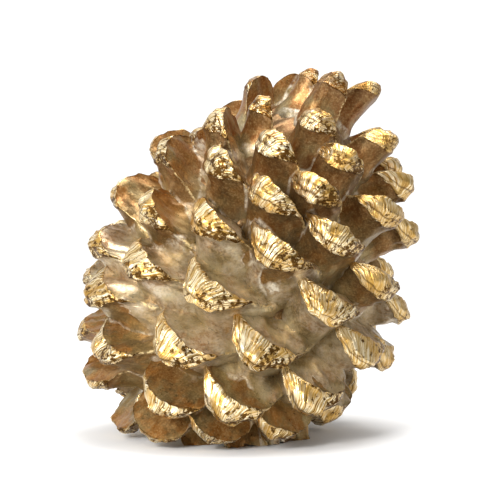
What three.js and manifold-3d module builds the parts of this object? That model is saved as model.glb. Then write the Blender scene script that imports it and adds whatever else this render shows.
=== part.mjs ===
// Pinecone ornament, one cast solid: a spindle-shaped core with a spiral of thick woody scales.
// Millimetres, +Z up, the apex leans towards +X, the foot is cut flat on z = 0.
import * as THREE from "three";
import { mergeVertices } from "three/addons/utils/BufferGeometryUtils.js";
import Module from "manifold-3d";

const wasm = await Module();
wasm.setup();
const { Manifold, Mesh } = wasm;

// Size of the cone before it is bent and cut
const CONE_RADIUS = 83; // mm from the axis to the middle of the widest facets
const CONE_HEIGHT = 213; // mm along the axis from the lowest station to the highest

// Pose of the cone's axis
const LEAN = 11; // degrees, apex towards +X
const TIP_AWAY = 6; // degrees, apex towards +Y
const RING_AWAY = 9; // degrees that a level ring tips more towards +Y, BEND_REACH above the origin
const FOOT_DEPTH = 88; // mm from the cone's origin on the axis down to the flat foot
const BEND = 19; // mm that the axis has bent towards +X at BEND_REACH above the origin
const BEND_REACH = 100; // mm

// Spiral of the scales
const FIRST_SCALE = -31; // index of the lowest scale
const LAST_SCALE = 57; // index of the scale at the apex
const GOLDEN = 138.5; // degrees from one scale to the next
const START_TURN = 246.5; // degrees, where scale 0 points, 270 is the front
const DRIFT_LOW = 50; // degrees that the spiral has turned on at the foot
const DRIFT_HIGH = -47; // degrees that the spiral has turned on at the apex
const STILL_SCALE = 14; // index at which the drift is nil
const DRIFT_REACH = 38; // scales over which the drift is reached
const CROWD = 25; // degrees by which the low scales crowd towards the front
const CROWD_FULL = -10; // index from which down they crowd fully
const SWAY = 8; // degrees that scales on the high side rise more, and those on the low side less

// Proportions at stations along the spiral, in parts that CONE_RADIUS and CONE_HEIGHT turn into mm: index of
// the scale, radius and height of its facet's middle, how far it points up in degrees, its length, its half
// width, its depth at the facet and at the root, and how far the facet's lower edge lies back, as a share of
// its depth
const STATIONS = [
  { index: -38, radius: 16, height: -106, rise: -80, length: 34, half: 12, deep: 8, root: 22, back: 0.3 },
  { index: -28, radius: 41, height: -95, rise: -60, length: 44, half: 16, deep: 11, root: 28, back: 0.6 },
  { index: -20, radius: 61, height: -79, rise: -44, length: 52, half: 18, deep: 13, root: 36, back: 0.7 },
  { index: -12, radius: 76, height: -57, rise: -27, length: 56, half: 20, deep: 14, root: 44, back: -0.1 },
  { index: 0, radius: 83, height: -24, rise: -6, length: 58, half: 20, deep: 14, root: 46, back: -0.35 },
  { index: 12, radius: 83, height: 7, rise: 9, length: 58, half: 19, deep: 13, root: 42, back: 0.1 },
  { index: 24, radius: 76, height: 33, rise: 19, length: 54, half: 17, deep: 12, root: 36, back: 0.3 },
  { index: 36, radius: 64, height: 58, rise: 34, length: 50, half: 15, deep: 12, root: 28, back: 0.3 },
  { index: 45, radius: 51, height: 77, rise: 46, length: 46, half: 12, deep: 11, root: 21, back: 0.3 },
  { index: 52, radius: 35, height: 94, rise: 60, length: 42, half: 10, deep: 9, root: 16, back: 0.3 },
  { index: 58, radius: 14, height: 107, rise: 80, length: 36, half: 8, deep: 7, root: 12, back: 0.3 },
];

// Millimetres in one part across the axis and in one part along it
const PART = CONE_RADIUS / Math.max(...STATIONS.map((s) => s.radius));
const LEVEL = CONE_HEIGHT / (STATIONS[STATIONS.length - 1].height - STATIONS[0].height);
const UNITS = { radius: PART, height: LEVEL, length: PART, half: PART, deep: PART, root: PART };

// Scales that stand out of the regular spiral: index, degrees on, parts up and parts out
const NUDGES = [
  { index: 53, on: -10, up: 5 },
  { index: 50, on: -12, up: 6 },
  { index: 47, on: 0, up: -5 },
  { index: 45, on: 2, up: -4, out: 5 },
  { index: 44, on: 8, up: -14, out: -3 },
  { index: 37, on: -16, up: -5 },
  { index: 32, on: 0, up: 5 },
  { index: 29, on: -9, up: -7 },
  { index: 28, on: 0, up: -6 },
  { index: 26, on: 2, up: 4 },
  { index: 24, on: -3, up: 2 },
  { index: 23, on: 0, up: -5 },
  { index: 21, on: -5, up: 2 },
  { index: 19, on: -2, up: 9 },
  { index: 18, on: 4, up: -5 },
  { index: 16, on: -5, up: 0 },
  { index: 15, on: 0, up: -10 },
  { index: 13, on: 3, up: 3 },
  { index: 11, on: -6, up: -4 },
  { index: 10, on: 3, up: -5 },
  { index: 8, on: 0, up: 7 },
  { index: 5, on: 4, up: 0 },
  { index: 3, on: -7, up: 1 },
  { index: 0, on: 1, up: 6 },
  { index: -2, on: -14, up: -3 },
  { index: -3, on: 0, up: 5, out: 3 },
  { index: -5, on: -6, up: -2 },
  { index: -6, on: 8, up: -8 },
  { index: -7, on: 0, up: 9 },
  { index: -8, on: -2, up: 0 },
  { index: -10, on: 0, up: -6 },
  { index: -13, on: -1, up: -7 },
  { index: -15, on: -10, up: 2, out: -7 },
  { index: -16, on: 2, up: -4 },
  { index: -19, on: -8, up: 4, out: 6 },
  { index: -20, on: 6, up: 4, out: -6 },
  { index: -22, on: 0, up: 0, out: 6 },
  { index: -23, on: -8, up: -4, out: -8 },
  { index: -24, on: 0, up: 0, out: 5 },
  { index: -27, on: 0, up: 0, out: 6 },
];
const STILL = { on: 0, up: 0, out: 0 };
function nudge(index) {
  const found = { ...STILL, ...NUDGES.find((n) => n.index === index) };
  return { on: found.on, up: found.up * LEVEL, out: found.out * PART };
}

// Form of one scale
const ROLL = 26; // degrees, the rim falls to the right as seen from outside
const ROLL_RIGHT = 20; // degrees that scales on the low side, towards +X, roll less
const ROLL_LEFT = 22; // degrees that scales on the high side roll more, in the upper part
const ROLL_FULL = 30; // index from which up they roll fully
const SKEW = 16; // degrees, the scale points to the left of straight out as seen from outside
const WIDEST = 0.72; // share of the length at which the scale is widest
const ROOT_WIDTH = 0.92; // width at the root as a share of the greatest width
const ROOT_POWER = 0.8; // roundness of the underside at the root: depth runs as the cosine to this power
const FACET_POWER = 1.8; // the same at the facet, which is a segment of a circle
const CUP = 0.06; // hollow of the upper face as a share of the half width
const BULGE = 0.2; // how far the facet swells out, as a share of its depth
const UMBO = 0.12; // how far the knob stands out, as a share of the facet's depth
const UMBO_DOWN = 0.6; // place of the knob below the rim, as a share of the facet's depth

// Core
const CORE_BACK = 0.45; // share of a scale's length from its facet back to the core's skin
const CORE_FIRST = -24; // index of the scale at the core's lowest ring
const FOOT_RADIUS = 32; // mm, the core's flat foot
const FOOT_OVER = 12; // mm that the core runs on below the foot before the cut
const CORE_TIP = 2; // mm from the core's last ring up to its pole
const CORE_SIDES = 20;
const CORE_RINGS = 10;

// Fineness of one scale
const ACROSS = 6; // spans from edge to edge
const ALONG = 1; // spans from root to rim
const DOWN = 2; // spans from rim to the facet's lower edge

const rad = THREE.MathUtils.degToRad;

// Smooth step from 0 to 1.
const ease = (t) => t * t * (3 - 2 * t);

// Value of a station's column at an index, on a smooth curve through the stations. Lengths come in mm.
function at(index, column) {
  const last = STATIONS.length - 1;
  let i = STATIONS.findIndex((s) => s.index > index) - 1;
  if (i < 0) i = index < STATIONS[0].index ? 0 : last - 1;
  const slope = (j) => {
    const a = STATIONS[Math.max(j - 1, 0)];
    const b = STATIONS[Math.min(j + 1, last)];
    return (b[column] - a[column]) / (b.index - a.index);
  };
  const span = STATIONS[i + 1].index - STATIONS[i].index;
  const t = (index - STATIONS[i].index) / span;
  const value =
    STATIONS[i][column] * (2 * t ** 3 - 3 * t ** 2 + 1) +
    STATIONS[i + 1][column] * (3 * t ** 2 - 2 * t ** 3) +
    slope(i) * span * (t ** 3 - 2 * t ** 2 + t) +
    slope(i + 1) * span * (t ** 3 - t ** 2);
  return value * (UNITS[column] ?? 1);
}

// Direction in which a scale points, seen along the axis, in radians.
function turnOf(index) {
  const away = (index - STILL_SCALE) / DRIFT_REACH;
  const drift = (away < 0 ? DRIFT_LOW : DRIFT_HIGH) * away ** 2;
  const turn = rad(START_TURN + GOLDEN * index + drift);
  const low = ease(THREE.MathUtils.clamp(index / CROWD_FULL, 0, 1));
  return turn - rad(CROWD) * low * Math.sin(turn + Math.PI / 2) + rad(nudge(index).on);
}

// Half width along the scale: narrow root, widest near the facet.
function halfWidth(t, half) {
  return half * (ROOT_WIDTH + (1 - ROOT_WIDTH) * ease(Math.min(t, 1)));
}

// A point of a scale in its own frame: x along it from the root, y to the left, z up.
// The side runs from -90 to 90 degrees across, and each row is an arc that swells towards the tip.
function upperPoint(t, side, s) {
  const c = Math.cos(side);
  const x = t * s.length * (WIDEST + (1 - WIDEST) * c);
  const hollow = CUP * s.half * c * c * Math.sin(Math.PI * Math.min(1, 0.15 + 0.85 * t));
  return new THREE.Vector3(x, halfWidth(t, s.half) * Math.sin(side), -hollow);
}

function lowerPoint(t, side, s) {
  const c = Math.cos(side);
  const depth = s.root + (s.deep - s.root) * ease(t);
  const power = ROOT_POWER + (FACET_POWER - ROOT_POWER) * ease(t);
  const p = upperPoint(t, side, s);
  return new THREE.Vector3(p.x - s.back * s.deep * t * c, p.y, -depth * c ** power);
}

function facetPoint(v, side, s) {
  const a = upperPoint(1, side, s);
  const b = lowerPoint(1, side, s);
  const p = a.clone().lerp(b, v);
  const c = Math.cos(side);
  const knob = UMBO * s.deep * Math.exp(-(((v - UMBO_DOWN) / 0.25) ** 2) - (side / 0.5) ** 2);
  p.x += BULGE * s.deep * Math.sin(Math.PI * v) * c + knob;
  return p;
}

// One scale as a closed skin: upper face, facet and underside form one run of rows, and the root is capped.
function scaleGeometry(s) {
  const rows = [];
  for (let i = 0; i <= ALONG; i++) rows.push((side) => upperPoint(i / ALONG, side, s));
  for (let i = 1; i < DOWN; i++) rows.push((side) => facetPoint(i / DOWN, side, s));
  for (let i = ALONG; i >= 0; i--) rows.push((side) => lowerPoint(i / ALONG, side, s));
  const points = rows.map((row) => {
    const line = [];
    for (let j = 0; j <= ACROSS; j++) line.push(row(Math.PI * (j / ACROSS - 0.5)));
    return line;
  });
  const corners = [];
  const add = (a, b, c) => corners.push(a, b, c);
  for (let i = 0; i < points.length; i++) {
    const next = (i + 1) % points.length; // the last row meets the first and so caps the root
    for (let j = 0; j < ACROSS; j++) {
      add(points[i][j], points[next][j], points[next][j + 1]);
      add(points[i][j], points[next][j + 1], points[i][j + 1]);
    }
  }
  return new THREE.BufferGeometry().setFromPoints(corners);
}

// A manifold solid from a geometry; corners that fall together are merged and flat triangles dropped.
function solidFrom(geometry) {
  const merged = mergeVertices(geometry, 1e-4);
  const index = merged.index.array;
  const kept = [];
  for (let i = 0; i < index.length; i += 3) {
    const [a, b, c] = [index[i], index[i + 1], index[i + 2]];
    if (a !== b && b !== c && c !== a) kept.push(a, b, c);
  }
  return new Manifold(
    new Mesh({
      numProp: 3,
      vertProperties: merged.attributes.position.array,
      triVerts: new Uint32Array(kept),
    }),
  );
}

// Places a scale on the spiral.
function placedScale(index) {
  const s = {
    length: at(index, "length"),
    half: at(index, "half"),
    deep: at(index, "deep"),
    root: at(index, "root"),
    back: at(index, "back"),
  };
  const rise = rad(at(index, "rise") - SWAY * Math.cos(turnOf(index)));
  const facing = Math.cos(turnOf(index));
  const upper = ease(THREE.MathUtils.clamp(index / ROLL_FULL, 0, 1));
  const roll = rad(ROLL - ROLL_RIGHT * Math.max(facing, 0) + ROLL_LEFT * Math.max(-facing, 0) * upper);
  const facetMiddle = s.length - (s.back * s.deep) / 2;
  const spot = nudge(index);
  const steps = [
    new THREE.Matrix4().makeRotationZ(turnOf(index)),
    new THREE.Matrix4().makeTranslation(at(index, "radius") + spot.out, 0, at(index, "height") + spot.up),
    new THREE.Matrix4().makeRotationZ(rad(-SKEW)),
    new THREE.Matrix4().makeRotationY(-rise),
    new THREE.Matrix4().makeRotationX(-roll),
    new THREE.Matrix4().makeTranslation(-facetMiddle, 0, s.deep / 2),
  ];
  const matrix = steps.reduce((a, b) => a.multiply(b), new THREE.Matrix4());
  return scaleGeometry(s).applyMatrix4(matrix);
}

// Profile of the core, which covers the roots of the scales and runs on through the foot.
function coreProfile() {
  const low = -FOOT_DEPTH - FOOT_OVER;
  const profile = [new THREE.Vector2(0, low), new THREE.Vector2(FOOT_RADIUS, low)];
  for (let i = 0; i <= CORE_RINGS; i++) {
    const index = CORE_FIRST + ((LAST_SCALE - CORE_FIRST) * i) / CORE_RINGS;
    const rise = rad(at(index, "rise"));
    const back = at(index, "length") * CORE_BACK;
    const radius = at(index, "radius") - back * Math.cos(rise);
    profile.push(new THREE.Vector2(radius, at(index, "height") - back * Math.sin(rise)));
  }
  profile.push(new THREE.Vector2(0, profile[profile.length - 1].y + CORE_TIP));
  return profile;
}

function coreSolid() {
  const profile = coreProfile();
  const corners = [];
  const p = (i, j) => {
    const turn = (2 * Math.PI * (j % CORE_SIDES)) / CORE_SIDES;
    return new THREE.Vector3(profile[i].x * Math.cos(turn), profile[i].x * Math.sin(turn), profile[i].y);
  };
  for (let i = 0; i + 1 < profile.length; i++) {
    for (let j = 0; j < CORE_SIDES; j++) {
      corners.push(p(i, j), p(i, j + 1), p(i + 1, j + 1), p(i, j), p(i + 1, j + 1), p(i + 1, j));
    }
  }
  return solidFrom(new THREE.BufferGeometry().setFromPoints(corners));
}

const solids = [coreSolid()];
for (let index = FIRST_SCALE; index <= LAST_SCALE; index++) solids.push(solidFrom(placedScale(index)));
const cone = Manifold.union(solids);

// Stacks the cone's level rings along a bent, leaning axis, tips them more towards +Y higher up, and cuts
// the foot.
const X_AXIS = new THREE.Vector3(1, 0, 0);
const Y_AXIS = new THREE.Vector3(0, 1, 0);
const bent = cone.warp((p) => {
  const high = p[2] / BEND_REACH;
  const ring = new THREE.Vector3(p[0], p[1], 0).applyAxisAngle(X_AXIS, -rad(TIP_AWAY + RING_AWAY * high));
  const axis = new THREE.Vector3(BEND * Math.max(high, 0) ** 2, 0, p[2]);
  axis.applyAxisAngle(X_AXIS, -rad(TIP_AWAY));
  const q = ring.add(axis).applyAxisAngle(Y_AXIS, rad(LEAN));
  p[0] = q.x;
  p[1] = q.y;
  p[2] = q.z + FOOT_DEPTH;
});
const stood = bent.trimByPlane([0, 0, 1], 0);
// Pockets that the roots close off inside are cast solid, so only the outer skin stays.
const outer = stood.decompose().reduce((a, b) => (b.volume() > a.volume() ? b : a));
const box = outer.boundingBox();
const whole = outer.translate([-(box.min[0] + box.max[0]) / 2, -(box.min[1] + box.max[1]) / 2, 0]);

const skin = whole.getMesh();
const positions = new Float32Array(skin.numVert * 3);
for (let i = 0; i < skin.numVert; i++) {
  positions.set(skin.vertProperties.subarray(i * skin.numProp, i * skin.numProp + 3), i * 3);
}
const geometry = new THREE.BufferGeometry()
  .setAttribute("position", new THREE.BufferAttribute(positions, 3))
  .setIndex(new THREE.BufferAttribute(skin.triVerts, 1));
const gold = new THREE.MeshStandardMaterial({ color: 0xb08a4a, roughness: 0.45, metalness: 0.6 });
const pinecone = new THREE.Mesh(geometry, gold);
pinecone.name = "pinecone";

const part = new THREE.Group();
part.add(pinecone);
export default part;
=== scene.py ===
"""Pinecone ornament in antique gold, one casting with a spiral of thick scales, on a pale floor."""

import math

import bpy
import numpy as np
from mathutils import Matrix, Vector

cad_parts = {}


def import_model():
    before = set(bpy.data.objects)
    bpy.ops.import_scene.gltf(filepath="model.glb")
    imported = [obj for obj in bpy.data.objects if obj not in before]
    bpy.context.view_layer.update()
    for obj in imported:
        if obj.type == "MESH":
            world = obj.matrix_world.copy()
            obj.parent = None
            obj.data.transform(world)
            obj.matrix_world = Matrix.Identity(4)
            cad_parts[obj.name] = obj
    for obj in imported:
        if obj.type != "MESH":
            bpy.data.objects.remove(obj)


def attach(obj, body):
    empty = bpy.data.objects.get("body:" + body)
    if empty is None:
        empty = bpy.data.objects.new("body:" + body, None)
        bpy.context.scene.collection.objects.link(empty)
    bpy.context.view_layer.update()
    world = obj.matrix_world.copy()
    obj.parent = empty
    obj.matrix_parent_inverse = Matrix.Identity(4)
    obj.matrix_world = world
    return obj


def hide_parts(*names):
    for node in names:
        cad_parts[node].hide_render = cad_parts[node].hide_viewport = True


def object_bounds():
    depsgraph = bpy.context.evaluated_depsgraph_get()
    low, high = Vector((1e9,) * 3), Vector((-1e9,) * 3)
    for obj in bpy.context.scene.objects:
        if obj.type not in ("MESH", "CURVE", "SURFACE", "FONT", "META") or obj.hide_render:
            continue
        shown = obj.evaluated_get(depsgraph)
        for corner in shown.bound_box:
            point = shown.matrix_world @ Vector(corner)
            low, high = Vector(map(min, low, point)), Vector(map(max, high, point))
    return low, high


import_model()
cad_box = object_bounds()

MM = 0.001

# Pose of the cone's axis, as in the part's source
LEAN = 11.0  # degrees, apex towards +X
TIP_AWAY = 6.0  # degrees, apex towards +Y
RING_AWAY = 9.0  # degrees that a level ring tips more towards +Y, BEND_REACH above the origin
FOOT_DEPTH = 88.0  # mm from the cone's origin down to the foot
BEND = 19.0  # mm that the axis has bent towards +X at BEND_REACH
BEND_REACH = 100.0  # mm

# Spiral of the scales
FIRST_SCALE, LAST_SCALE = -31, 57
GOLDEN = 138.5  # degrees from one scale to the next
START_TURN = 246.5  # degrees, where scale 0 points
DRIFT_LOW, DRIFT_HIGH = 50.0, -47.0  # degrees of drift at foot and apex
STILL_SCALE, DRIFT_REACH = 14, 38
CROWD = 25.0  # degrees by which the low scales crowd towards the front
CROWD_FULL = -10  # index from which down they crowd fully
SWAY = 8.0  # degrees that scales on the high side rise more, and those on the low side less

# Stations along the spiral: index, radius and height of the facet's middle, rise, length, half width,
# depth at the facet and at the root, and how far the facet's lower edge lies back, as a share of its depth
STATION_NAMES = ("index", "radius", "height", "rise", "length", "half", "deep", "root", "back")
STATIONS = np.array(
    [
        (-38, 16, -106, -80, 34, 12, 8, 22, 0.3),
        (-28, 41, -95, -60, 44, 16, 11, 28, 0.6),
        (-20, 61, -79, -44, 52, 18, 13, 36, 0.7),
        (-12, 76, -57, -27, 56, 20, 14, 44, -0.1),
        (0, 83, -24, -6, 58, 20, 14, 46, -0.35),
        (12, 83, 7, 9, 58, 19, 13, 42, 0.1),
        (24, 76, 33, 19, 54, 17, 12, 36, 0.3),
        (36, 64, 58, 34, 50, 15, 12, 28, 0.3),
        (45, 51, 77, 46, 46, 12, 11, 21, 0.3),
        (52, 35, 94, 60, 42, 10, 9, 16, 0.3),
        (58, 14, 107, 80, 36, 8, 7, 12, 0.3),
    ],
    float,
)

# Scales that stand out of the regular spiral: degrees on, mm up and mm out
NUDGES = {
    53: (-10, 5, 0),
    50: (-12, 6, 0),
    47: (0, -5, 0),
    45: (2, -4, 5),
    44: (8, -14, -3),
    37: (-16, -5, 0),
    32: (0, 5, 0),
    29: (-9, -7, 0),
    28: (0, -6, 0),
    26: (2, 4, 0),
    24: (-3, 2, 0),
    23: (0, -5, 0),
    21: (-5, 2, 0),
    19: (-2, 9, 0),
    18: (4, -5, 0),
    16: (-5, 0, 0),
    15: (0, -10, 0),
    13: (3, 3, 0),
    11: (-6, -4, 0),
    10: (3, -5, 0),
    8: (0, 7, 0),
    5: (4, 0, 0),
    3: (-7, 1, 0),
    0: (1, 6, 0),
    -2: (-14, -3, 0),
    -3: (0, 5, 3),
    -5: (-6, -2, 0),
    -6: (8, -8, 0),
    -7: (0, 9, 0),
    -8: (-2, 0, 0),
    -10: (0, -6, 0),
    -13: (-1, -7, 0),
    -15: (-10, 2, -7),
    -16: (2, -4, 0),
    -19: (-8, 4, 6),
    -20: (6, 4, -6),
    -22: (0, 0, 6),
    -23: (-8, -4, -8),
    -24: (0, 0, 5),
    -27: (0, 0, 6),
}

# Form of one scale
ROLL = 26.0  # degrees, the rim falls to the right as seen from outside
ROLL_RIGHT = 20.0  # degrees that scales on the low side, towards +X, roll less
ROLL_LEFT = 22.0  # degrees that scales on the high side roll more, in the upper part
ROLL_FULL = 30  # index from which up they roll fully
SKEW = 16.0  # degrees, the scale points to the left of straight out
WIDEST = 0.72  # share of the length at which the scale is widest
ROOT_WIDTH = 0.92
ROOT_POWER = 0.8
FACET_POWER = 1.8
LIP_DOWN = 0.8  # place of the groove above the facet's lip, as a share of its depth
CUP = 0.06
BULGE = 0.2
UMBO = 0.12
UMBO_DOWN = 0.6
CORE_BACK = 0.45  # share of a scale's length from its facet back to the core's skin
FILLET = 12.0  # mm, how far from a crease the surface starts to fill
NEAR = 24  # scales along the spiral that are tested as neighbours
FILL_FULL, FILL_FADE = 0.6, 0.35  # share of the length up to which creases fill fully, and over which it ends
FAN_BELOW = 8.0  # mm below the facet where its strokes would meet
BURIED = 10.0  # mm of each root that the mesh keeps below the core's skin

# Relief of a scale that is SIZED_HALF wide to each side, less on narrower ones: depth and length of its waves
SIZED_HALF = 20.0  # mm
LUMPS = ((0.5, 16, 100), (0.25, 7, 300))  # mm deep, mm long, seed, all over
FACET_LUMPS = (0.15, 5, 500)  # the same, on the facet alone
GROOVE_DEEP, GROOVE_WIDE = 0.5, 0.05  # mm, and share of the facet's depth, the groove above the lip
CRUMPLE = 0.4  # mm, how far the rim wanders
CRUMPLE_LONG, CRUMPLE_SHORT = 9, 4  # mm
CORE_SWELL, CORE_WAVE = 0.05, 14  # share of the core's radius and mm, its own lumps

# Fineness
COLUMNS = 30  # spans across a scale
UPPER_ROWS, FACET_ROWS = 10, 12
RIM_SHARE = 0.988  # share of the length at the row that keeps the gilt's edge crisp
CORE_SIDES, CORE_RINGS = 84, 44
CORE_FIRST = -24  # index of the scale at the core's lowest ring
FOOT_RADIUS = 32.0  # mm, the core's flat foot
FOOT_OVER = 12.0  # mm that the core runs on below the foot before the cut
CORE_TIP = 2.0  # mm from the core's last ring up to its pole
FOOT_SOFT = 8.0  # mm

# Photograph's view and the floor
SENSOR, LENS = 36.0, 136.8  # mm
VIEW_RISE = 3.0  # degrees above the horizon
VIEW_MIDDLE = (0.001, 0, 0.089)  # m
VIEW_AWAY = 1.005  # m
FLOOR_REACH = 0.6  # m from its middle to each side
LIGHT_TARGET = (0, 0, 0.09)  # m


def ease(t):
    return t * t * (3 - 2 * t)


def at(index, column):
    """Value of a station's column at an index, on a smooth cubic through the stations."""
    x = STATIONS[:, 0]
    y = STATIONS[:, STATION_NAMES.index(column)]
    last = len(x) - 1
    i = int(np.clip(np.searchsorted(x, index, side="right") - 1, 0, last - 1))

    def slope(j):
        a, b = max(j - 1, 0), min(j + 1, last)
        return (y[b] - y[a]) / (x[b] - x[a])

    h = x[i + 1] - x[i]
    t = (index - x[i]) / h
    return (
        y[i] * (2 * t**3 - 3 * t**2 + 1)
        + y[i + 1] * (3 * t**2 - 2 * t**3)
        + slope(i) * h * (t**3 - 2 * t**2 + t)
        + slope(i + 1) * h * (t**3 - t**2)
    )


def turn_of(index):
    away = (index - STILL_SCALE) / DRIFT_REACH
    drift = (DRIFT_LOW if away < 0 else DRIFT_HIGH) * away**2
    turn = math.radians(START_TURN + GOLDEN * index + drift)
    turn -= math.radians(CROWD) * ease(min(max(index / CROWD_FULL, 0), 1)) * math.sin(turn + math.pi / 2)
    return turn + math.radians(NUDGES.get(index, (0, 0, 0))[0])


def roll_of(index):
    c = math.cos(turn_of(index))
    upper = ease(min(max(index / ROLL_FULL, 0), 1))
    return math.radians(ROLL - ROLL_RIGHT * max(c, 0) + ROLL_LEFT * max(-c, 0) * upper)


def rotation(axis, angle):
    c, s = math.cos(angle), math.sin(angle)
    i, j = [(1, 2), (2, 0), (0, 1)]["xyz".index(axis)]
    m = np.eye(3)
    m[i, i] = m[j, j] = c
    m[i, j], m[j, i] = -s, s
    return m


def ripple(p, size, seed, waves=8):
    """Smooth noise near -1 to 1: a sum of sine waves of random direction, about size mm long."""
    rng = np.random.default_rng(seed)
    d = rng.normal(size=(waves, 3))
    d *= (rng.uniform(0.7, 1.7, waves) * 2 * math.pi / size / np.linalg.norm(d, axis=1))[:, None]
    phase = rng.uniform(0, 2 * math.pi, waves)
    return np.sin(p @ d.T + phase).sum(-1) / math.sqrt(waves)


def grid_normals(p):
    """Unit normals of a grid of points, from the differences along its two directions."""
    n = np.cross(np.gradient(p, axis=0), np.gradient(p, axis=1))
    return n / (np.linalg.norm(n, axis=-1, keepdims=True) + 1e-9)


class Scale:
    """One scale: a narrow root that widens to a slanted facet. x runs along it, y across, z up, in mm."""

    def __init__(self, index):
        self.index = index
        self.length = at(index, "length")
        self.half = at(index, "half")
        self.deep = at(index, "deep")
        self.root = at(index, "root")
        self.back = at(index, "back")
        self.rise = math.radians(at(index, "rise") - SWAY * math.cos(turn_of(index)))

    def upper(self, t, side):
        """x = t L (w + (1 - w) cos a), y = half width sin a, z = a hollow that deepens to the middle."""
        c = np.cos(side)
        x = t * self.length * (WIDEST + (1 - WIDEST) * c)
        y = self.half * (ROOT_WIDTH + (1 - ROOT_WIDTH) * ease(t)) * np.sin(side)
        z = -CUP * self.half * c * c * np.sin(math.pi * np.minimum(1, 0.15 + 0.85 * t))
        return np.stack([x, y, z], -1)

    def lower(self, t, side):
        """The outline dropped by depth cos a ** n: full at the root, a circle's segment at the facet."""
        c = np.maximum(np.cos(side), 0)
        p = self.upper(t, side)
        depth = self.root + (self.deep - self.root) * ease(t)
        power = ROOT_POWER + (FACET_POWER - ROOT_POWER) * ease(t)
        x = p[..., 0] - self.back * self.deep * t * c
        return np.stack([x, p[..., 1], -depth * c**power], -1)

    def facet(self, v, side):
        """From the rim at v 0 to the lower edge at v 1, swollen by a sine and raised at the knob."""
        one = np.ones_like(v)
        p = self.upper(one, side) * (1 - v)[..., None] + self.lower(one, side) * v[..., None]
        c = np.maximum(np.cos(side), 0)
        knob = UMBO * self.deep * np.exp(-(((v - UMBO_DOWN) / 0.25) ** 2) - (side / 0.5) ** 2)
        p[..., 0] += BULGE * self.deep * np.sin(math.pi * v) * c + knob
        return p

    def matrix(self):
        """Rotation and shift from the scale's frame to the cone's frame."""
        turn = rotation("z", turn_of(self.index))
        tilt = rotation("z", math.radians(-SKEW)) @ rotation("y", -self.rise)
        tilt = tilt @ rotation("x", -roll_of(self.index))
        middle = np.array([self.length - self.back * self.deep / 2, 0, -self.deep / 2])
        _, up, out = NUDGES.get(self.index, (0, 0, 0))
        facet = np.array([at(self.index, "radius") + out, 0, at(self.index, "height") + up])
        return turn @ tilt, turn @ (facet - tilt @ middle)

    def outside(self, p):
        """How far points of the cone's frame lie outside this scale, roughly, in mm; below 0 is inside."""
        turn, shift = self.matrix()
        x, y, z = np.moveaxis((p - shift) @ turn, -1, 0)
        c = np.ones_like(x)
        for _ in range(2):
            t = np.clip(x / (self.length * (WIDEST + (1 - WIDEST) * c)), 0, 1)
            half = self.half * (ROOT_WIDTH + (1 - ROOT_WIDTH) * ease(t))
            c = np.sqrt(np.maximum(1 - (y / half) ** 2, 0))
        side = np.arccos(c)
        reach = self.length * (WIDEST + (1 - WIDEST) * c)
        top, bottom = self.upper(t, side)[..., 2], self.lower(t, side)[..., 2]
        return np.maximum.reduce([z - top, bottom - z, np.abs(y) - half, x - reach])

    def grid(self):
        """Rows root to rim, down the facet and back along the underside; columns from edge to edge."""
        start = 1 - CORE_BACK - BURIED / self.length
        side = np.linspace(-math.pi / 2, math.pi / 2, COLUMNS + 1)
        along = start + (RIM_SHARE - start) * np.linspace(0, 1, UPPER_ROWS) ** 0.8
        along = np.append(along, 1.0)
        down = np.linspace(0, 1, FACET_ROWS + 1)[1:-1]
        rows = [self.upper(np.full_like(side, t), side) for t in along]
        rows += [self.facet(np.full_like(side, v), side) for v in down]
        rows += [self.lower(np.full_like(side, t), side) for t in along[::-1]]
        form = [(float(t == 1), 1.0, t, 0.0) for t in along]
        form += [(1.0, 0.0, 1.0, v) for v in down]
        form += [(float(t == 1), 0.0, t, 1.0) for t in along[::-1]]
        form = np.array(form)[:, None, :] * np.ones((1, COLUMNS + 1, 1))
        return np.array(rows), form, side


def relief(scale, p, form, side):
    """Swells the grid by ripples: broad lumps all over, finer ones on the facet, none at the sharp edges."""

    def wave(deep, long, seed):
        return deep * ripple(p, long, scale.index + seed)

    n = grid_normals(p)
    edge = np.cos(side)[None, :] ** 0.5
    size = scale.half / SIZED_HALF
    lumps = sum(wave(*each) for each in LUMPS)
    groove = -GROOVE_DEEP * np.exp(-(((form[..., 3] - LIP_DOWN) / GROOVE_WIDE) ** 2))
    height = size * edge * (lumps + form[..., 0] * (wave(*FACET_LUMPS) + groove))
    crumple = [wave(1, CRUMPLE_LONG, k) + wave(0.6, CRUMPLE_SHORT, k + 3) for k in (700, 800, 900)]
    return p + n * height[..., None] + CRUMPLE * size * ease(form[..., 2:3]) * np.stack(crumple, -1)


def core_profile():
    """Radius and height of the core's skin, through the covered ends of the roots."""
    profile = [(0, -FOOT_DEPTH - FOOT_OVER), (FOOT_RADIUS, -FOOT_DEPTH - FOOT_OVER)]
    for k in np.linspace(CORE_FIRST, LAST_SCALE, CORE_RINGS + 1):
        rise = math.radians(at(k, "rise"))
        back = at(k, "length") * CORE_BACK
        radius = at(k, "radius") - back * math.cos(rise)
        profile.append((radius, at(k, "height") - back * math.sin(rise)))
    return np.array(profile + [(0, profile[-1][1] + CORE_TIP)])


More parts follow.
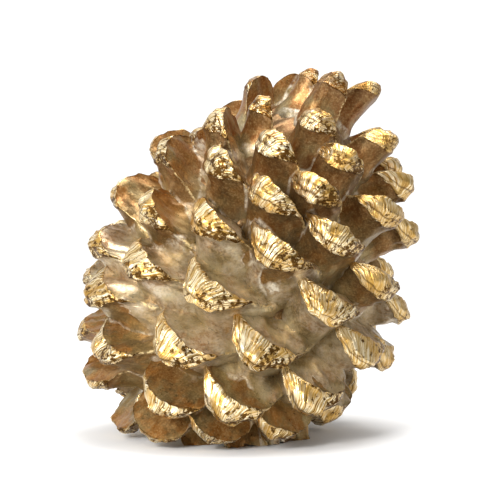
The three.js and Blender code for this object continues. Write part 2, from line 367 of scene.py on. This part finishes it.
def fuse(scale, p, form, side, others, profile):
    """Fills the creases: b mm from the next surface, a point moves out by (k - b)^2 / 4k, k being the fillet.

    The move fades out towards the rim, so the facets keep their size.
    """
    gap = np.full(p.shape[:-1], 99.0)
    for other in others:
        gap = np.minimum(gap, other.outside(p))
    core = np.hypot(p[..., 0], p[..., 1]) - np.interp(p[..., 2], profile[1:-1, 1], profile[1:-1, 0])
    gap = np.minimum(gap, core)
    n = grid_normals(p)
    turn, _ = scale.matrix()
    c = np.cos(side)[None, :, None]
    n = n * c + (1 - c) * np.sign(side)[None, :, None] * turn[:, 1]
    n /= np.linalg.norm(n, axis=-1, keepdims=True)
    rise = (FILLET - np.clip(gap, 0, FILLET)) ** 2 / (4 * FILLET)
    rise *= 1 - ease(np.clip((form[..., 2] - FILL_FULL) / FILL_FADE, 0, 1))
    return p + n * rise[..., None], gap


def stand(p):
    """Stacks the cone's level rings along a bent, leaning axis, tips them more towards +Y higher up, and sets
    it on its foot."""
    high = p[..., 2] / BEND_REACH
    tip = np.radians(TIP_AWAY + RING_AWAY * high)
    ring = np.stack([p[..., 0], p[..., 1] * np.cos(tip), -p[..., 1] * np.sin(tip)], -1)
    axis = np.stack([BEND * np.maximum(high, 0) ** 2, 0 * high, p[..., 2]], -1)
    axis = axis @ rotation("x", math.radians(-TIP_AWAY)).T
    return (ring + axis) @ rotation("y", math.radians(LEAN)).T + np.array([0, 0, FOOT_DEPTH])


def core_grid(profile):
    """A lathe of the core's profile."""
    turn = np.linspace(0, 2 * math.pi, CORE_SIDES + 1)
    r, z = profile[:, :1], profile[:, 1:]
    return np.stack([r * np.cos(turn), r * np.sin(turn), z + 0 * turn], -1)


def skin_triangles(rows, columns, first):
    """Triangles of a scale's grid. The edge columns of the facet and underside are the upper face's own."""
    name = np.arange(rows * columns).reshape(rows, columns)
    for j in (0, columns - 1):
        name[UPPER_ROWS : UPPER_ROWS + FACET_ROWS, j] = name[UPPER_ROWS, j]
        name[UPPER_ROWS + FACET_ROWS :, j] = name[: UPPER_ROWS + 1, j][::-1]
    a, d = name, np.roll(name, -1, axis=0)
    one = np.stack([a[:, :-1], d[:, :-1], d[:, 1:]], -1).reshape(-1, 3)
    two = np.stack([a[:, :-1], d[:, 1:], a[:, 1:]], -1).reshape(-1, 3)
    tri = np.concatenate([one, two])
    flat = (tri[:, 0] == tri[:, 1]) | (tri[:, 1] == tri[:, 2]) | (tri[:, 2] == tri[:, 0])
    return tri[~flat] + first


def lathe_triangles(rows, columns, first):
    """Triangles of a lathe's grid whose first and last rows are poles and whose last column is the first."""
    name = np.arange(rows * columns).reshape(rows, columns)
    name[:, -1] = name[:, 0]
    name[0] = name[0, 0]
    name[-1] = name[-1, 0]
    a, b, c, d = name[:-1, :-1], name[:-1, 1:], name[1:, 1:], name[1:, :-1]
    tri = np.concatenate([np.stack([a, b, c], -1).reshape(-1, 3), np.stack([a, c, d], -1).reshape(-1, 3)])
    flat = (tri[:, 0] == tri[:, 1]) | (tri[:, 1] == tri[:, 2]) | (tri[:, 2] == tri[:, 0])
    return tri[~flat] + first


def build():
    """Points, triangles and the values that the paint reads, of all scales and the core."""
    profile = core_profile()
    scales = [Scale(index) for index in range(FIRST_SCALE, LAST_SCALE + 1)]
    points, triangles, forms, grains, gaps = [], [], [], [], []
    first = 0
    for s in scales:
        p, form, side = s.grid()
        p = relief(s, p, form, side)
        turn, shift = s.matrix()
        p = p @ turn.T + shift
        others = [o for o in scales if o is not s and abs(o.index - s.index) <= NEAR]
        p, gap = fuse(s, p, form, side, others, profile)
        across = np.sin(side)[None, :] + 0 * gap
        fan = np.arctan2(across * s.half, (1 - form[..., 3]) * s.deep + FAN_BELOW)
        grain = np.where((form[..., 3] > 0) & (form[..., 3] < 1), fan, across)
        rows, columns = p.shape[:2]
        points.append(stand(p).reshape(-1, 3))
        triangles.append(skin_triangles(rows, columns, first))
        forms.append(form.reshape(-1, 4))
        grains.append(np.stack([grain, form[..., 3], np.full_like(gap, s.index * 0.37)], -1).reshape(-1, 3))
        gaps.append(gap.reshape(-1))
        first += rows * columns
    core = core_grid(profile)
    core[..., :2] *= 1 + CORE_SWELL * ripple(core, CORE_WAVE, 7)[..., None]
    rows, columns = core.shape[:2]
    points.append(stand(core).reshape(-1, 3))
    triangles.append(lathe_triangles(rows, columns, first))
    forms.append(np.full((rows * columns, 4), (0, 0, 1, 0)))
    grains.append(np.zeros((rows * columns, 3)))
    gaps.append(np.full(rows * columns, 9.0))
    return [np.concatenate(x) for x in (points, triangles, forms, grains, gaps)]


def into_box(p, box):
    """Shifts the cone over the frame's middle, flattens its foot on the floor and keeps it in the box.

    A point d mm below the floor closes in on the foot's middle by exp(-d / FOOT_SOFT).
    """
    low, high = np.array(box[0]) / MM, np.array(box[1]) / MM
    middle = p[p[:, 2] < 0, :2].mean(0)
    share = np.exp(np.minimum(p[:, 2:], 0) / FOOT_SOFT)
    p = np.concatenate([middle + (p[:, :2] - middle) * share, np.maximum(p[:, 2:], 0)], axis=1)
    mine_low, mine_high = p.min(0), p.max(0)
    for k in (0, 1):
        share = min(1, (high[k] - low[k]) / (mine_high[k] - mine_low[k]))
        p[:, k] = (p[:, k] - (mine_low[k] + mine_high[k]) / 2) * share + (low[k] + high[k]) / 2
    p[:, 2] *= min(1, high[2] / mine_high[2])
    return p


def pinecone_mesh(name):
    points, triangles, forms, grains, gaps = build()
    points = into_box(points, cad_box) * MM
    used, triangles = np.unique(triangles, return_inverse=True)
    triangles = triangles.reshape(-1, 3)
    mesh = bpy.data.meshes.new(name)
    mesh.from_pydata(points[used], [], triangles)
    mesh.attributes.new("form", "FLOAT_COLOR", "POINT").data.foreach_set("color", forms[used].ravel())
    mesh.attributes.new("grain", "FLOAT_VECTOR", "POINT").data.foreach_set("vector", grains[used].ravel())
    mesh.attributes.new("gap", "FLOAT", "POINT").data.foreach_set("value", gaps[used])
    mesh.polygons.foreach_set("use_smooth", [True] * len(mesh.polygons))
    mesh.set_sharp_from_angle(angle=math.radians(55))
    mesh.update()
    return mesh


def linear(code):
    """A linear colour from an sRGB hex code."""
    parts = [int(code[i : i + 2], 16) / 255 for i in (1, 3, 5)]
    return [c / 12.92 if c <= 0.04045 else ((c + 0.055) / 1.055) ** 2.4 for c in parts] + [1.0]


def node(tree, kind, inputs=None, **settings):
    """Adds a node, sets its values and links any socket given as an input."""
    n = tree.nodes.new(kind)
    for key, value in settings.items():
        setattr(n, key, value)
    for key, value in (inputs or {}).items():
        if isinstance(value, bpy.types.NodeSocket):
            tree.links.new(value, n.inputs[key])
        else:
            n.inputs[key].default_value = value
    return n


def antique_gold():
    """Cast resin, painted antique gold by hand: gilt leaf on the facets, brown wash, dry-brushed ridges."""
    m = bpy.data.materials.new("antique_gold")
    m.use_nodes = True
    t = m.node_tree
    t.nodes.clear()
    place = node(t, "ShaderNodeTexCoord").outputs["Object"]
    form = node(t, "ShaderNodeAttribute", attribute_name="form")
    grain = node(t, "ShaderNodeAttribute", attribute_name="grain").outputs["Vector"]
    parts = node(t, "ShaderNodeSeparateColor", {"Color": form.outputs["Color"]})
    facet, upper, along = parts.outputs["Red"], parts.outputs["Green"], parts.outputs["Blue"]

    def noise(vector, scale, detail=3.0, rough=0.55):
        return node(
            t, "ShaderNodeTexNoise", {"Vector": vector, "Scale": scale, "Detail": detail, "Roughness": rough}
        ).outputs["Fac"]

    def ramp(value, low, high, a=0.0, b=1.0):
        return node(
            t,
            "ShaderNodeMapRange",
            {"Value": value, "From Min": low, "From Max": high, "To Min": a, "To Max": b},
        ).outputs["Result"]

    def blend(share, a, b):
        n = node(t, "ShaderNodeMix", {"Factor": share}, data_type="RGBA")
        for socket, value in ((n.inputs[6], a), (n.inputs[7], b)):
            if isinstance(value, bpy.types.NodeSocket):
                t.links.new(value, socket)
            else:
                socket.default_value = linear(value)
        return n.outputs[2]

    def times(a, b):
        return node(t, "ShaderNodeMath", {0: a, 1: b}, operation="MULTIPLY").outputs[0]

    def add(a, b):
        return node(t, "ShaderNodeMath", {0: a, 1: b}, operation="ADD").outputs[0]

    fan, down, own = node(t, "ShaderNodeSeparateXYZ", {"Vector": grain}).outputs
    gap = node(t, "ShaderNodeAttribute", attribute_name="gap").outputs["Fac"]
    mottle = noise(place, 500, 4, 0.65)

    # Body: olive wash in patches 15 to 30 mm wide, orange-brown near the tips, painted shade on the
    # undersides below the facets, champagne in the creases and gilt rubbed on the edges
    seed = node(t, "ShaderNodeMath", {0: own, 1: 9.0}, operation="MULTIPLY").outputs[0]
    lengthwise = {"X": times(fan, 9.0), "Y": times(along, 4.0), "Z": seed}
    streaks = noise(node(t, "ShaderNodeCombineXYZ", lengthwise).outputs[0], 1.0, 4, 0.6)
    body = blend(ramp(noise(place, 45, 3), 0.36, 0.64), "#6F5C38", "#958053")
    inner = add(along, times(noise(place, 80, 3), 0.4))
    body = blend(ramp(inner, 0.9, 0.7, 0, 0.45), body, "#B0A27E")
    speckle = add(noise(place, 60, 3), times(noise(place, 500, 3, 0.7), 0.35))
    tips = times(ramp(along, 0.45, 0.9), ramp(speckle, 0.6, 0.74, 0, 0.9))
    body = blend(tips, body, "#925A18")
    body = blend(ramp(streaks, 0.52, 0.72, 0, 0.25), body, "#C2AE82")
    body = blend(ramp(streaks, 0.48, 0.32, 0, 0.35), body, "#624A2B")
    aside, _, height = node(t, "ShaderNodeSeparateXYZ", {"Vector": place}).outputs
    apex = times(ramp(height, 0.10, 0.16, 0, 0.9), ramp(noise(place, 90, 4, 0.65), 0.42, 0.58))
    body = blend(apex, body, "#7C4612")
    # painted shade: the scales' undersides, below the facets, darken to brown towards the facet's lower edge
    sheltered = times(ramp(upper, 1.0, 0.0), ramp(facet, 1.0, 0.0))
    underside_shade = times(sheltered, ramp(along, 0.7, 0.98, 0, 0.8))
    body = blend(underside_shade, body, "#5E3F20")
    crease = times(ramp(gap, 1.8, -0.8, 0, 0.5), ramp(noise(place, 90, 4, 0.6), 0.4, 0.58, 0.15, 1.0))
    body = blend(crease, body, "#CDC2A4")
    thread = times(ramp(gap, 3.2, 2.2), ramp(gap, 0.2, 1.6, 0.35, 1))
    thread = times(thread, ramp(noise(place, 60, 4, 0.6), 0.44, 0.55))
    thread = times(thread, ramp(noise(place, 420, 3, 0.6), 0.4, 0.55, 0.2, 0.9))
    body = blend(ramp(mottle, 0.35, 0.7, 0, 0.25), body, "#BC9F68")
    body = blend(thread, body, "#EEE6D2")
    fleck = noise(place, 1000, 2, 0.6)
    body = blend(ramp(fleck, 0.52, 0.7, 0, 0.2), body, "#D6BE8C")
    body = blend(ramp(fleck, 0.5, 0.34, 0, 0.2), body, "#523D22")
    edge = node(t, "ShaderNodeMath", {0: fan}, operation="ABSOLUTE").outputs[0]
    rubbed = times(ramp(edge, 0.97, 0.995), ramp(along, 0.45, 0.75))
    body = blend(times(rubbed, ramp(mottle, 0.42, 0.56)), body, "#E6CE96")

    # Leaf on the facets: fine strokes that fan out from below the facet, umber wear in blotches that gather
    # at the lower right as painted shade, painted shade darker towards +X, and a dark line in the groove
    # above the lip
    stretch = {0: grain, 1: (25.0, 1.2, 3.0)}
    stretched = node(t, "ShaderNodeVectorMath", stretch, operation="MULTIPLY").outputs[0]
    strokes = noise(stretched, 1.0, 2, 0.5)
    leaf = blend(ramp(strokes, 0.34, 0.48), "#6E4C20", "#CFAF70")
    leaf = blend(ramp(strokes, 0.47, 0.6), leaf, "#FDF0CE")
    leaf = blend(ramp(noise(place, 110, 3), 0.45, 0.62, 0, 0.75), leaf, "#C49643")
    # painted shade: the leaf darkens towards +X, the side turned away from the key light
    leaf = blend(ramp(aside, 0.02, 0.08, 0, 0.45), leaf, "#AD8A4C")
    # umber wear in blotches, pushed towards each facet's lower right as painted shade
    wear_and_shade = add(noise(place, 400, 4, 0.7), add(times(fan, 0.11), times(down, 0.03)))
    wear_and_shade = add(wear_and_shade, times(noise(place, 90, 2), 0.3))
    leaf = blend(ramp(wear_and_shade, 0.71, 0.78), leaf, "#573B18")
    tarnish = times(ramp(height, 0.15, 0.19), ramp(noise(place, 160, 3), 0.4, 0.6, 0, 0.8))
    leaf = blend(tarnish, leaf, "#80501F")
    wander = add(add(down, times(fan, 0.06)), times(noise(place, 150, 2), 0.2))
    line = times(ramp(wander, 0.8, 0.84), ramp(wander, 0.89, 0.85, 0, 0.8))
    leaf = blend(line, leaf, "#5E4421")
    colour = blend(facet, body, leaf)

    raised = add(times(strokes, facet), times(noise(place, 700, 3, 0.6), 0.2))
    grained = {"Height": raised, "Distance": 0.0007, "Strength": 0.8}
    bump = node(t, "ShaderNodeBump", grained).outputs["Normal"]
    shader = node(
        t,
        "ShaderNodeBsdfPrincipled",
        {
            "Base Color": colour,
            "Metallic": ramp(facet, 0, 1, 0.68, 1.0),
            "Roughness": add(ramp(mottle, 0.3, 0.7, 0.26, 0.42), times(sheltered, 0.05)),
            "Normal": bump,
        },
    )
    node(t, "ShaderNodeOutputMaterial", {"Surface": shader.outputs[0]})
    return m


def plain(name, code, rough):
    m = bpy.data.materials.new(name)
    m.use_nodes = True
    shader = m.node_tree.nodes["Principled BSDF"]
    shader.inputs["Base Color"].default_value = linear(code)
    shader.inputs["Roughness"].default_value = rough
    return m


def area_light(name, place, size, power):
    light = bpy.data.lights.new(name, "AREA")
    light.size = size
    light.energy = power
    o = bpy.data.objects.new(name, light)
    o.location = place
    o.rotation_euler = (Vector(LIGHT_TARGET) - Vector(place)).to_track_quat("-Z", "Y").to_euler()
    bpy.context.scene.collection.objects.link(o)


def camera():
    """The photograph's view: level with the middle, a metre away, 3 degrees above the horizon."""
    data = bpy.data.cameras.new("camera")
    data.sensor_width = SENSOR
    data.lens = LENS
    data.shift_y = 0.03
    data.clip_start, data.clip_end = 0.05, 20
    o = bpy.data.objects.new("camera", data)
    elevation = math.radians(VIEW_RISE)
    target = Vector(VIEW_MIDDLE)
    o.location = target + VIEW_AWAY * Vector((0, -math.cos(elevation), math.sin(elevation)))
    o.rotation_euler = (target - o.location).to_track_quat("-Z", "Y").to_euler()
    bpy.context.scene.collection.objects.link(o)
    bpy.context.scene.camera = o


def floor():
    mesh = bpy.data.meshes.new("floor")
    r = FLOOR_REACH
    mesh.from_pydata([(-r, -r, 0), (r, -r, 0), (r, r, 0), (-r, r, 0)], [], [(0, 1, 2, 3)])
    o = bpy.data.objects.new("floor", mesh)
    bpy.context.scene.collection.objects.link(o)
    mesh.materials.append(plain("pale_floor", "#E9E9E9", 0.9))


def world():
    """A white backdrop behind the piece and to its left, a dimmer room in front and to its right."""
    w = bpy.data.worlds.new("studio")
    bpy.context.scene.world = w
    w.use_nodes = True
    t = w.node_tree
    way = node(t, "ShaderNodeTexCoord").outputs["Generated"]
    side = {0: way, 1: (-1.0, 0.6, 0.0)}
    bright = node(t, "ShaderNodeVectorMath", side, operation="DOT_PRODUCT").outputs["Value"]
    level = {"Value": bright, "From Min": -1.0, "From Max": 0.5, "To Min": 0.56, "To Max": 1.15}
    sky = t.nodes["Background"].inputs
    t.links.new(node(t, "ShaderNodeMapRange", level).outputs["Result"], sky["Strength"])
    sky["Color"].default_value = (1, 1, 1, 1)


camera()
world()
floor()
area_light("top", (0.15, 0.1, 1.2), 0.6, 11)
area_light("key", (-0.6, -1.0, 0.5), 0.4, 15)

cone = bpy.data.objects.new("pinecone_visual", pinecone_mesh("pinecone_visual"))
bpy.context.scene.collection.objects.link(cone)
cone.data.materials.append(antique_gold())
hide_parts("pinecone")
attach(cone, "root")

bpy.context.scene.view_settings.view_transform = "Standard"
